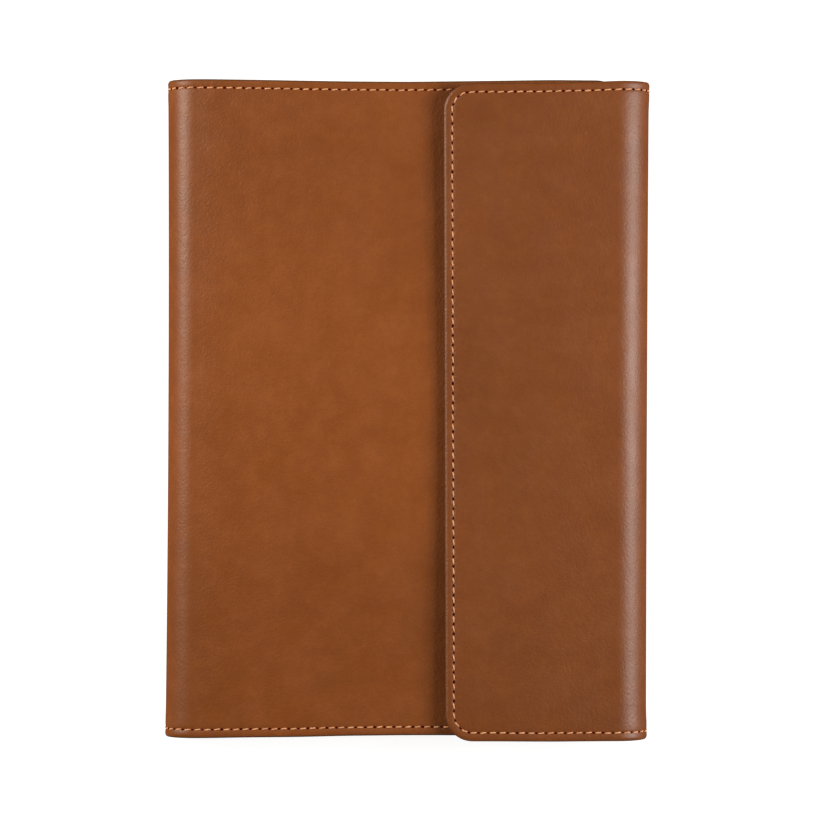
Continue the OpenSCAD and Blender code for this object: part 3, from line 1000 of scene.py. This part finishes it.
def card_cover(name, body, node):
    """A card cover of the notebook, with softened edges."""
    z0, z1 = low(node, 2), high(node, 2)
    ring = leaf_outline(BOOK_X, BOOK_EDGE, BOOK_HALF)
    count = len(ring)
    middle = np.array([(BOOK_X + BOOK_EDGE) / 2, 0.0])
    soft = 0.18 * MM
    inward = ring + soft * unit(middle - ring)
    outlines = [(inward, z0), (ring, z0 + soft), (ring, z1 - soft), (inward, z1)]
    verts = np.concatenate([np.column_stack([o, np.full(count, z)]) for o, z in outlines])
    faces = []
    for a in (0, count, 2 * count):
        for i in range(count):
            j = (i + 1) % count
            faces.append((a + i, a + j, a + count + j, a + count + i))
    for base, flip in ((0, True), (3 * count, False)):
        for face in leaf_faces(count):
            face_here = tuple(base + i for i in face)
            faces.append(face_here[::-1] if flip else face_here)
    obj = new_mesh(name, verts, faces, verts[:, :2], [CARD])
    sharpen(obj, 50)
    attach(obj, body)
    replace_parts(obj, node)


card_cover("back_card_cover", "back", "notebook_back_cover")
card_cover("front_card_cover", "front", "notebook_front_cover")


def spine_tape(name, sign, body, node):
    """The cloth tape along the back of half the pages, with a softened edge, short of the gutter."""
    x0, x1 = low(node, 0), high(node, 0)
    z0 = MID_Z - sign * (MID_Z - PAGES_D - 0.05 * MM)
    z1 = MID_Z - sign * (GUTTER + 0.12 * MM)
    soft = 0.12 * MM
    profile = [(x0, z0), (x0, z1 - sign * soft), (x0 + soft, z1), (x1, z1), (x1, z0)]
    y_values = np.linspace(-BOOK_HALF + 0.3 * MM, BOOK_HALF - 0.3 * MM, 40)
    count = len(profile)
    verts = [(x, y, z) for y in y_values for x, z in profile]
    faces = []
    for row in range(len(y_values) - 1):
        for i in range(count):
            j = (i + 1) % count
            a = row * count
            faces.append((a + i, a + j, a + count + j, a + count + i))
    faces.append(tuple(range(count))[::-1])
    faces.append(tuple(range((len(y_values) - 1) * count, len(y_values) * count)))
    if sign < 0:
        faces = [f[::-1] for f in faces]
    obj = new_mesh(name, verts, faces, materials=[TAPE])
    sharpen(obj, 35)
    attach(obj, body)
    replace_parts(obj, node)


spine_tape("back_cloth_tape", 1, "back", "back_spine_tape")
spine_tape("front_cloth_tape", -1, "pages", "front_spine_tape")


# ---------------------------------------------------------------- enclosed parts, which keep their CAD shape

def finish_node(node, material):
    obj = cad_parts[node]
    obj.data.materials.clear()
    obj.data.materials.append(material)


finish_node("front_stiffener", BOARD)
finish_node("back_stiffener", BOARD)
finish_node("flap_magnet", NICKEL)
finish_node("front_keeper", STEEL)


# ---------------------------------------------------------------- studio

def pale_material(name, near_glow):
    """Plain grey that also shines, from near_glow at the middle of the studio to full white far out."""
    n = Nodes(name)
    place_at = n.coords(uv=False)
    tone = n.noise(place_at, 3, 2)
    color = n.mix(n.ramp(tone, 0.3, 0.7), (0.34, 0.34, 0.34), (0.36, 0.36, 0.36))
    reach = n.add("ShaderNodeVectorMath", operation="LENGTH")
    n.link(place_at, reach.inputs[0])
    glow = n.ramp(reach.outputs["Value"], 0.7, 2.2, near_glow, 1.0)
    return n.out(color, 0.9, Specular_IOR_Level=0.0, Emission_Color=(1, 1, 1), Emission_Strength=glow)


def floor():
    """A pale table that shines softly, with a pale screen far round it."""
    reach, drop, tall = 3.6, -0.25 * MM, 2.5
    corners = [(-reach, -reach, drop), (reach, -reach, drop), (reach, reach, drop), (-reach, reach, drop)]
    table = pale_material("pale_floor", 0.88)
    ground = new_mesh("studio_floor", corners, [(0, 1, 2, 3)], materials=[table])
    # The leather doesn't mirror the bright table
    ground.visible_glossy = False
    around = 48
    turns = [2 * math.pi * k / around for k in range(around)]
    ring = [(reach * 0.97 * math.cos(a), reach * 0.97 * math.sin(a)) for a in turns]
    verts = [(x, y, 2 * drop) for x, y in ring] + [(x, y, tall) for x, y in ring]
    faces = [(k, k + around, (k + 1) % around + around, (k + 1) % around) for k in range(around)]
    screen = new_mesh("studio_screen", verts, faces, materials=[pale_material("pale_screen", 1.0)])
    # It's only there to be seen behind the cover
    screen.visible_diffuse = False
    screen.visible_glossy = False
    screen.visible_shadow = False


def area_light(name, position, aim, size, energy, color=(1, 1, 1)):
    data = bpy.data.lights.new(name, "AREA")
    data.shape = "RECTANGLE"
    data.size, data.size_y = size
    data.energy = energy
    data.color = color
    light = bpy.data.objects.new(name, data)
    light.location = position
    light.rotation_mode = "QUATERNION"
    light.rotation_quaternion = (Vector(aim) - Vector(position)).to_track_quat("-Z", "Y")
    light.visible_camera = False
    bpy.context.collection.objects.link(light)
    return light


def studio():
    # The main softboxes are at the two sides, so that their reflections run along the spine and the fold
    # and stay off the flat panels. The head and tail get a little fill.
    warm, warmer = (1, 0.975, 0.93), (1, 0.94, 0.82)
    by_fold, by_spine = (0.08, 0, 0.01), (-0.08, 0.02, 0.01)
    area_light("right_softbox", (0.85, 0.06, 0.60), by_fold, (0.55, 0.44), 8.4, warm)
    area_light("right_low_strip", (0.95, 0.04, 0.33), by_fold, (0.5, 0.30), 2.7, warm)
    area_light("left_softbox", (-0.77, 0.35, 0.64), (-0.08, 0.08, 0.01), (0.45, 0.46), 9.4, warmer)
    low_strip = area_light("left_low_strip", (-0.95, 0.15, 0.25), by_spine, (0.7, 0.16), 3.0, warmer)
    # This one only fills: a reflection so low would veil the leather
    low_strip.visible_glossy = False
    area_light("tail_fill", (0.1, -1.1, 0.80), (0, 0, 0), (1.2, 0.6), 0.8)
    area_light("head_fill", (0.1, 1.1, 0.80), (0, 0, 0), (1.2, 0.6), 0.3)
    world = bpy.data.worlds.new("studio_air")
    bpy.context.scene.world = world
    world.use_nodes = True
    background = world.node_tree.nodes["Background"]
    background.inputs["Color"].default_value = (1, 1, 1, 1)
    background.inputs["Strength"].default_value = 0.035
    bpy.context.scene.view_settings.view_transform = "Standard"


def camera():
    """Straight above the closed cover, from about 1.1 m, as the reference view is."""
    data = bpy.data.cameras.new("camera")
    data.sensor_width = 36.0
    data.lens = 138.8
    data.clip_start, data.clip_end = 0.05, 20
    cam = bpy.data.objects.new("camera", data)
    cam.location = (0.0002, 0.0005, 1.119)
    cam.rotation_euler = (0, 0, 0)
    bpy.context.collection.objects.link(cam)
    bpy.context.scene.camera = cam


floor()
studio()
camera()
